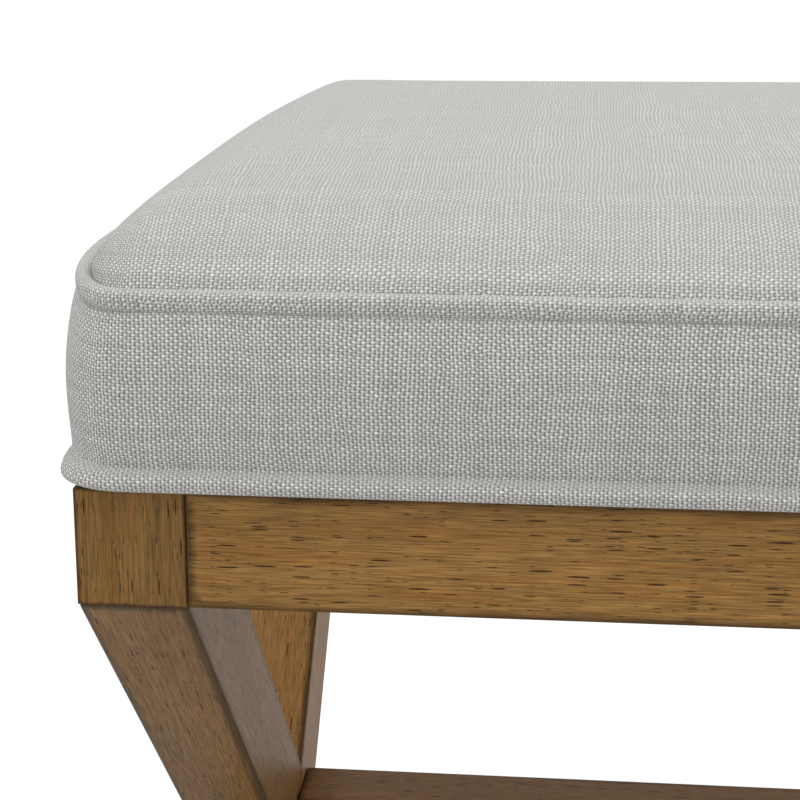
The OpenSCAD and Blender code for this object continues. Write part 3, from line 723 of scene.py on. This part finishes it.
# %% Sides of the cover
SEAM_TO_CREASE = (
    (52.6, 4.3, 8.9), (52.0, 5.1, 9.8), (51.0, 5.6, 10.3), (49.4, 6.0, 10.7), (47.0, 6.4, 10.85),
    (44.0, 6.8, 10.9), (40.6, 7.1, 10.85), (37.0, 7.3, 10.65), (33.4, 7.4, 10.3),
    (29.8, 7.3, 9.8), (26.2, 7.1, 9.1), (22.8, 6.8, 8.3), (19.6, 6.4, 7.4), (16.6, 5.9, 6.5),
    (13.8, 5.4, 5.6), (11.6, 4.9, 4.9), (10.2, 4.6, 4.4),
)
ROLLED_EDGE = (
    (8.9, 4.1, 4.15), (8.1, 3.7, 4.4), (7.5, 3.6, 4.7), (7.1, 4.3, 5.0), (6.8, 5.4, 5.2),
    (6.2, 6.4, 5.6), (5.2, 6.95, 6.2), (3.9, 7.1, 6.7), (2.4, 6.9, 6.85), (1.6, 6.6, 6.5),
    (1.05, 6.0, 5.9), (0.78, 5.0, 4.9), (0.69, 3.5, 3.4), (0.65, 1.5, 1.5),
)
TURNED_IN = (
    (0.64, 0.0), (0.63, -10.0), (0.63, -20.0), (0.75, -22.5), (1.4, -23.1), (3.0, -23.2),
    (9.0, -23.2), (14.8, -23.2), (15.3, -23.0), (15.4, -22.5), (15.0, -22.1), (13.5, -22.05),
)


FOLD_HEIGHT, WALL_HEIGHT = 8.9, 42.5
FOLD_CORNER, OPENS_LONG, OPENS_END = 24, 6, 60
HEM_CORNER, TIGHTEST = 15.4, 2.5
KEPT_SWELL, WALL_PRESSURE, WALL_CAP = 0.93, 1.0, 0.005


def corner_of(height, over):
    """The corner is tight at the rolled edge and opens towards the seam, most along the end.
    Under the lid it follows the cloth in."""
    if over < 2 or height < 3:
        tight = max(TIGHTEST, HEM_CORNER + over)
        return tight, tight
    up = max(0.0, (height - FOLD_HEIGHT) / WALL_HEIGHT)
    return FOLD_CORNER + OPENS_LONG * up, FOLD_CORNER + OPENS_END * up


def levels_of(rows):
    """Rows of height, over and end over, in millimetres, with the corners that belong to them."""
    full = [(height, over, rest[0] if rest else over) for height, over, *rest in rows]
    return [(height, over, end, *corner_of(height, over)) for height, over, end in full]


def slack(rows, share):
    """Draws a swollen span of rows in towards the chord between its ends."""
    (top, *first), (bottom, *last) = rows[0], rows[-1]
    drawn = []
    for height, *overs in rows:
        down = (top - height) / (top - bottom)
        chord = [a + (b - a) * down for a, b in zip(first, last)]
        drawn.append((height, *(c + (over - c) * share for c, over in zip(chord, overs))))
    return tuple(drawn)


wall = slack(SEAM_TO_CREASE, KEPT_SWELL)
shape, strip_width = strip_of_cloth(levels_of(wall + ROLLED_EDGE + TURNED_IN))
lay_cloth(shape)
faces_outward(
    shape, lambda f: f.calc_center_median().normalized() if f.normal.z ** 2 < 0.2 else f.normal
)
sides = cloth_piece("cover_sides", shape, linen)
seam, crease = (TOP_Z + row[0] / 1000 for row in (SEAM_TO_CREASE[0], SEAM_TO_CREASE[-1]))
pinned = [v.index for v in sides.data.vertices if not crease + 1e-5 <= v.co.z <= seam - 1e-5]
swell(sides, pinned, WALL_PRESSURE, WALL_CAP)
print("sides", len(sides.data.polygons), "faces, strip", round(strip_width, 3), "m wide")

# %% [markdown]
# The cover, the welt and the foam band are finished alike: subdivided once and hung on the lid,
# and the solids they replace are hidden.


# %% Finish of a padded piece
def padded_piece(piece, slot, *replaced, fill):
    finer = piece.modifiers.new("finer", "SUBSURF")
    finer.levels = finer.render_levels = 1
    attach(piece, "lid")
    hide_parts(*replaced)


padded_piece(sides, "linen_cover", "boxing", "cover_edge", fill=0.9)

# %% [markdown]
# ## Foam in the seat
# A band of foam is glued round the rails, and a thick pad lies on the board. Upholstery foam is
# pale cream with pores of about a millimetre, each darkened with painted shade. The pad follows
# the top panel and comes after it.
# The band has to be drawn in wherever the cover is drawn in, so it is made as a ring between
# the cover and the rails: one strip down outside, its bottom edge turned in, and up inside.


# %% Foam
def soft_spots(tree, sizes, detail=2.0):
    """Noise in the piece's own coordinates, with features of those sizes in metres."""
    scale = tuple(1 / size for size in sizes)
    place = add(tree, "TexCoord").outputs["Object"]
    place = add(tree, "Mapping", {"Vector": place, "Scale": scale}).outputs[0]
    return add(tree, "TexNoise", {"Vector": place, "Scale": 1, "Detail": detail}).outputs["Fac"]


def pores(tree, size):
    """Distance to the middle of the nearest pore, from 0 to about 1."""
    place = add(tree, "TexCoord").outputs["Object"]
    cell = add(tree, "TexVoronoi", {"Vector": place, "Scale": 1 / size})
    return cell.outputs["Distance"]


PORE = 0.0011
foam, tree = finish_tree("open_cell_foam")
cells, patches = pores(tree, PORE), soft_spots(tree, (0.03, 0.03, 0.03))
body = blend_of(tree, patches, colour("#e6dfc0"), colour("#f0ead2"))
# Painted shade: each pore darkens towards its middle.
body = blend_of(tree, spread(tree, cells, 0.35, 0.0, 0, 0.55), body, colour("#a89f80"))
relief = add(tree, "Bump", {"Height": cells, "Strength": 0.5, "Distance": 0.0004})
close_tree(
    tree, Base_Color=body, Roughness=0.95, Specular_IOR_Level=0.1, Normal=relief.outputs[0]
)

# In millimetres, as the rows are. The band reaches from the board's height to just above the
# hem, under the cover's rows from the fifth of the wall to the eighth of the roll.
UNDER_CLOTH, RAIL_FACE, BAND_TOP = 1.3, -1.9, 46.7
outside = [
    (min(height, BAND_TOP), over - UNDER_CLOTH, end - UNDER_CLOTH)
    for height, over, end in SEAM_TO_CREASE[4:] + ROLLED_EDGE[:8]
]
inside = [(height, RAIL_FACE, RAIL_FACE) for height in (2.6, 10.0, 20.0, 30.0, 40.0, 46.0)]
shape, band_width = strip_of_cloth(levels_of(outside + inside))
bmesh.ops.bridge_loops(shape, edges=[e for e in shape.edges if e.is_boundary])
bmesh.ops.recalc_face_normals(shape, faces=shape.faces)
band = cloth_piece("foam_band", shape, foam)
padded_piece(band, "foam", "foam_wrap", fill=1.0)
print("foam band", round(band_width * 1000), "mm round its section")

# %% [markdown]
# ## Linen cover: the welt
# Where the side meets the top, the seam holds a welt: a cord in its own narrow strip of the
# same cloth. It is one closed tube round the seat. The rings go round its section, and the
# last is bridged to the first. The middle of the cord is one more level: height, over, end
# over, and the corner along X and Y.

# %% Welt
WELT = (54.9, 3.0, 7.6, 25.0, 88.0)
WELT_OUT, WELT_UP, WELT_STEPS = 2.9, 3.3, 16


def eased_square(share):
    """Takes a circle's sine or cosine a little towards a square's."""
    return math.copysign(abs(share) ** 0.8, share)


def welt_level(step):
    angle = 2 * math.pi * step / WELT_STEPS
    out = WELT_OUT * eased_square(math.cos(angle))
    up = WELT_UP * eased_square(math.sin(angle))
    return WELT[0] + up, *(value + out for value in WELT[1:])


levels = [welt_level(k) for k in range(WELT_STEPS)]
shape, way_round = strip_of_cloth(levels)
way_round += math.dist(levels[-1][:2], levels[0][:2]) / 1000
bmesh.ops.bridge_loops(shape, edges=[e for e in shape.edges if e.is_boundary])
lay_cloth(shape, way_round)
bmesh.ops.recalc_face_normals(shape, faces=shape.faces)
welt = cloth_piece("welt", shape, linen)
padded_piece(welt, "linen_cover", "welt_cord", fill=1.0)
print("welt", round(way_round * 1000, 1), "mm round its section")

# %% [markdown]
# ## Linen cover: the top
# The top is one flat panel pulled over a crowned foam pad: steep at the welt, then a round
# shoulder, then nearly flat. A grid keeps the weave square in plan. Its outer cells are packed
# towards the edge, where the cloth turns hardest, its corners are drawn onto the welt's
# curve, and each vertex is lifted by how far in from the edge it lies. The sheet starts a few
# millimetres low in the middle, and the push of the foam brings it up.

# %% Top panel
LENGTH_CELLS, DEPTH_CELLS, PACKING = 180, 64, 1.8
PANEL_L, PANEL_D = HALF_L + 0.0051, HALF_D + 0.0005
CORNER_X, CORNER_Y = 0.0225, 0.0855
RISE, DOME, DOME_POWER, EDGE_RISE, SEAM_DROP = 0.0318, 0.19, 1.6, 0.0004, 0.0003
PUSHED, PUSH_REACH, TOP_PRESSURE, TOP_CAP = 0.0036, 0.3, 0.16, 0.006
END_SHOULDER, SIDE_SHOULDER, BLEND = (0.036, 1.38), (0.050, 1.7), 7
MEASURES = 400


def packed(share):
    """Moves a place between the middle (0) and an edge (1 or -1) towards the edge."""
    return math.copysign(1 - (1 - min(abs(share), 1)) ** PACKING, share)


def rounded_corner(x, y):
    """Draws the square corner of the panel onto a round one."""
    inner_x, inner_y = PANEL_L - CORNER_X, PANEL_D - CORNER_Y
    p, q = (abs(x) - inner_x) / CORNER_X, (abs(y) - inner_y) / CORNER_Y
    if p <= 0 or q <= 0:
        return x, y
    return (
        math.copysign(inner_x + CORNER_X * p * math.sqrt(1 - q * q / 2), x),
        math.copysign(inner_y + CORNER_Y * q * math.sqrt(1 - p * p / 2), y),
    )


def shoulder(inward, width, fullness):
    """Rises from 0 at the edge to 1 at the shoulder's width; fullness is how square it is."""
    share = min(max(inward / width, 0.0), 1.0)
    return max(1e-4, (1 - (1 - share) ** fullness) ** (1 / fullness))


def crown(x, y):
    """Height of the crown over a place on the flat panel: the lower of the end's shoulder and
    the side's, blended where they meet, with a dome across the depth."""
    end = shoulder(PANEL_L - abs(x), *END_SHOULDER)
    side = shoulder(PANEL_D - abs(y), *SIDE_SHOULDER)
    lower = (end ** -BLEND + side ** -BLEND - 1) ** (-1 / BLEND)
    return EDGE_RISE + RISE * lower * (1 - DOME * abs(y / PANEL_D) ** DOME_POWER)


def pushed(x, y):
    """How far the push of the foam lifts a slack panel there."""
    share = min(1.0, (PANEL_L - abs(x)) / PUSH_REACH)
    return PUSHED * math.sin(share * QUARTER) * (1 - (y / PANEL_D) ** 2)


def cloth_length(reach, height_at):
    """Places from the middle (0) to the edge (reach), and how much cloth has been used there."""
    used, before, step = [0.0], height_at(0.0), reach / MEASURES
    for number in range(1, MEASURES + 1):
        height = height_at(reach * number / MEASURES)
        used.append(used[-1] + math.hypot(step, height - before))
        before = height

    def used_at(place):
        number = round(abs(place) / reach * MEASURES)
        return math.copysign(used[min(MEASURES, number)], place)

    return used_at


shape = bmesh.new()
bmesh.ops.create_grid(
    shape, x_segments=LENGTH_CELLS, y_segments=DEPTH_CELLS, size=1, calc_uvs=False
)
cloth = shape.loops.layers.uv.new("cloth")
panel_z = TOP_Z + WELT[0] / 1000 - SEAM_DROP
cloth_x = cloth_length(PANEL_L, lambda x: crown(x, 0))
cloth_y = cloth_length(PANEL_D, lambda y: crown(0, y))
flat = {}
for vertex in shape.verts:
    x, y = PANEL_L * packed(vertex.co.x), PANEL_D * packed(vertex.co.y)
    flat[vertex] = (cloth_x(x), cloth_y(y))
    round_x, round_y = rounded_corner(x, y)
    low_by = pushed(x, y)
    vertex.co = (round_x, round_y, panel_z + crown(x, y) - low_by)
for face in shape.faces:
    for corner in face.loops:
        corner[cloth].uv = flat[corner.vert]
faces_outward(shape, lambda f: Vector((0, 0, 1)))
shape.verts.index_update()
pinned = sorted({v.index for e in shape.edges if e.is_boundary for v in e.verts})
top = cloth_piece("cover_top", shape, linen)
swell(top, pinned, TOP_PRESSURE, TOP_CAP)
padded_piece(top, "linen_cover", "top_panel", fill=0.95)
print("top", len(top.data.polygons), "faces")

# %% [markdown]
# ## Foam pad
# The pad fills the cover, so it is cut from the settled top panel: a copy of that sheet is let
# down by the thickness of the cloth, its rim is extruded to the board, and the hole is closed.

# %% Pad under the top panel
CLOTH = 0.0015
board_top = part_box("seat_board")[1].z
shape = bmesh.new()
shape.from_mesh(top.data)
bmesh.ops.translate(shape, verts=shape.verts, vec=(0, 0, -CLOTH))
rim = [e for e in shape.edges if e.is_boundary]
made = bmesh.ops.extrude_edge_only(shape, edges=rim)["geom"]
for item in made:
    if isinstance(item, bmesh.types.BMVert):
        item.co.z = board_top
foot = [item for item in made if isinstance(item, bmesh.types.BMEdge)]
bmesh.ops.holes_fill(shape, edges=foot, sides=0)
bmesh.ops.recalc_face_normals(shape, faces=shape.faces)
pad = cloth_piece("foam_pad_fitted", shape, foam)
pad.data.set_sharp_from_angle(angle=math.radians(40))
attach(pad, "lid")
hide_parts("foam_pad")
print("pad", len(pad.data.polygons), "faces down to", round(board_top, 4))

# %% [markdown]
# ## Wood inside the seat
# The parts that nobody sees until the lid is open are plain wood. Sheet material is birch
# plywood: a sanded face with a slow figure, and thin dark glue lines on its edges. Rails and
# corner blocks are planed pine, with growth rings that run the length of the board. Dowels
# are beech with short flecks. The model's shapes are right, so each node only gets a new
# finish in its object's material slot.


# %% Plywood, pine and beech
def dress(finish, *names):
    """Gives carried-over parts a finish in place of the model's plain colour."""
    for name in names:
        for holder in nodes[name].material_slots:
            holder.link = "OBJECT"
            holder.material = finish


PLY_PAIR, GLUE_FROM, GLUE_TO = 0.0009, 0.00018, 0.0001
material, tree = finish_tree("birch_plywood")
figure, fine = soft_spots(tree, (0.4, 0.03, 0.4), 3.0), soft_spots(tree, (0.02, 0.0009, 0.02))
body = blend_of(tree, spread(tree, figure, 0.3, 0.7), colour("#cfae82"), colour("#e0c79f"))
body = blend_of(tree, spread(tree, fine, 0.55, 0.8, 0, 0.35), body, colour("#a07f55"))
own = add(tree, "TexCoord").outputs
height = add(tree, "SeparateXYZ", {0: own["Object"]}).outputs[2]
plies = sum_of(tree, "PINGPONG", height, PLY_PAIR)
level = sum_of(tree, "ABSOLUTE", add(tree, "SeparateXYZ", {0: own["Normal"]}).outputs[2])
glue = spread(tree, plies, GLUE_FROM, GLUE_TO, 0, 0.6)
glue = sum_of(tree, "MULTIPLY", glue, spread(tree, level, 0.6, 0.4))
body = blend_of(tree, glue, body, colour("#6b4a2a"))
relief = add(tree, "Bump", {"Height": fine, "Strength": 0.25, "Distance": 0.0002})
rough = spread(tree, fine, 0.3, 0.7, 0.62, 0.74)
close_tree(tree, Base_Color=body, Roughness=rough, Normal=relief.outputs[0])
dress(material, "storage_panel", "seat_board")


def planed(name, sizes, fine_sizes, colours, amount):
    """Planed wood: growth rings as long soft bands, and fine flecks over them. The colours are
    those of the pale wood, the rings and the flecks; amount is how strong the flecks are."""
    pale, ring, fleck = map(colour, colours)
    material, tree = finish_tree(name)
    rings, fine = soft_spots(tree, sizes, 1.0), soft_spots(tree, fine_sizes)
    bands = sum_of(tree, "PINGPONG", sum_of(tree, "MULTIPLY", rings, 9.0), 1.0)
    body = blend_of(tree, spread(tree, bands, 0.2, 0.95, 0, 0.8), pale, ring)
    body = blend_of(tree, spread(tree, fine, 0.58, 0.75, 0, amount), body, fleck)
    relief = add(tree, "Bump", {"Height": fine, "Strength": 0.3, "Distance": 0.0002})
    rough = spread(tree, bands, 0, 1, 0.68, 0.55)
    close_tree(tree, Base_Color=body, Roughness=rough, Normal=relief.outputs[0])
    return material


RAIL_PINE, BLOCK_PINE = ("#e2c592", "#c99a5b", "#a87a43"), ("#e0c28f", "#c5965a", "#a87a43")
BEECH = ("#dcb98c", "#cfa877", "#9c6f44")
FIGURE, FLECK = (0.5, 0.02, 0.02), (0.02, 0.0007, 0.0007)
long_pine = planed("pine_rail_long", FIGURE, FLECK, RAIL_PINE, 0.35)
deep_pine = planed(
    "pine_rail_deep", (0.02, 0.5, 0.02), (0.0007, 0.02, 0.0007), RAIL_PINE, 0.35
)
block_pine = planed(
    "pine_block", (0.03, 0.03, 0.4), (0.0007, 0.0007, 0.02), BLOCK_PINE, 0.3
)
beech = planed("beech_dowel", (0.05, 0.01, 0.05), (0.004, 0.0006, 0.004), BEECH, 0.5)
dress(long_pine, "lid_rail_front", "lid_rail_back")
dress(deep_pine, "lid_rail_left", "lid_rail_right")
dress(block_pine, "lid_corner_blocks")
dress(beech, "leg_dowels", "apron_dowels", "stretcher_dowels")
dress(timber("brushed_hardwood_plug", (0, 0, QUARTER), 1.1), "bolt_plugs")
print("plywood, pine, beech and plugs dressed")

# %% [markdown]
# ## Metal fittings
# Bolts, brackets, screws and staples are zinc plated: a pale grey metal with a soft patchy
# bloom and rub marks. The hinges are nickel plated and satin brushed, so their fine scratches
# all run one way. Both are the same recipe with another colour and another direction of
# scratches, and the wear is only in the roughness and in a slight darkening.


# %% Zinc and nickel
def plated(name, bright, dull, scratch, rough_low, rough_high):
    material, tree = finish_tree(name)
    bloom, marks = soft_spots(tree, (0.006, 0.006, 0.006), 3.0), soft_spots(tree, scratch)
    body = blend_of(tree, spread(tree, bloom, 0.35, 0.7), colour(bright), colour(dull))
    body = blend_of(tree, spread(tree, marks, 0.6, 0.8, 0, 0.4), body, colour("#55534f"))
    relief = add(tree, "Bump", {"Height": marks, "Strength": 0.2, "Distance": 0.00005})
    rough = spread(tree, bloom, 0.3, 0.7, rough_low, rough_high)
    close_tree(tree, Base_Color=body, Metallic=1.0, Roughness=rough, Normal=relief.outputs[0])
    return material


dress(
    plated("zinc_plated_steel", "#c3c4c1", "#a3a4a2", (0.002, 0.0004, 0.001), 0.32, 0.5),
    "stretcher_bolts", "stretcher_washers", "barrel_nuts", "corner_brackets", "bracket_screws",
    "seat_board_screws", "staples",
)
dress(
    plated("satin_nickel_plate", "#b9b2a6", "#a29a8d", (0.02, 0.0003, 0.0003), 0.26, 0.4),
    "hinge_frame_leaf_left", "hinge_frame_leaf_middle", "hinge_frame_leaf_right",
    "hinge_lid_leaf_left", "hinge_lid_leaf_middle", "hinge_lid_leaf_right",
    "hinge_pins", "hinge_frame_screws", "hinge_lid_screws",
)
print("metal dressed")

# %% [markdown]
# ## Lining, glides and bumpers
# Dark lining cloth closes the underside of the board. It isn't woven: its fibres lie in every
# direction and are pressed flat, with rows of small dimples, darkened with painted shade. The feet
# stand on moulded nylon, slightly grained, and the lid comes down on soft rubber that holds a
# little dust.

# %% Lining
DIMPLE_STEP = 0.003
material, tree = finish_tree("non_woven_lining")
long_hairs, deep_hairs = (
    soft_spots(tree, sizes) for sizes in ((0.004, 0.0003, 0.002), (0.0003, 0.004, 0.002))
)
fibres = sum_of(tree, "MAXIMUM", long_hairs, deep_hairs)
own = add(tree, "SeparateXYZ", {0: add(tree, "TexCoord").outputs["Object"]}).outputs
waves = [
    sum_of(tree, "SINE", sum_of(tree, "MULTIPLY", own[k], 2 * math.pi / DIMPLE_STEP))
    for k in (0, 1)
]
dimples = spread(tree, sum_of(tree, "MULTIPLY", *waves), 0.3, 0.8)
body = blend_of(tree, spread(tree, fibres, 0.45, 0.75), colour("#3b3b3d"), colour("#5a5a5d"))
# Painted shade: the recessed dimples are drawn darker.
body = blend_of(tree, sum_of(tree, "MULTIPLY", dimples, 0.5), body, colour("#28282a"))
surface = sum_of(tree, "SUBTRACT", fibres, dimples)
relief = add(tree, "Bump", {"Height": surface, "Strength": 0.4, "Distance": 0.0002})
close_tree(
    tree, Base_Color=body, Roughness=0.95, Specular_IOR_Level=0.1, Normal=relief.outputs[0]
)
dress(material, "lid_lining")
print("lining dressed")


# %% Nylon and rubber
def moulded(name, dark, pale, grain, gloss, rough_low, rough_high):
    material, tree = finish_tree(name)
    patches, fine = soft_spots(tree, (0.008, 0.008, 0.008)), soft_spots(tree, (grain, grain, grain))
    body = blend_of(tree, spread(tree, patches, 0.3, 0.75), colour(dark), colour(pale))
    relief = add(tree, "Bump", {"Height": fine, "Strength": 0.3, "Distance": 0.0001})
    rough = spread(tree, fine, 0.3, 0.7, rough_low, rough_high)
    close_tree(
        tree, Base_Color=body, Roughness=rough, Specular_IOR_Level=gloss, Normal=relief.outputs[0]
    )
    return material


dress(moulded("moulded_nylon", "#2b2926", "#34322e", 0.0006, 0.45, 0.38, 0.5), "foot_glides")
dress(moulded("soft_rubber", "#19191a", "#29282a", 0.0009, 0.3, 0.6, 0.75), "lid_bumpers")
plain = sorted(
    name for name, node in nodes.items()
    if node.material_slots and node.material_slots[0].link != "OBJECT"
)
print("parts left in the model's own finish, all replaced:", plain)
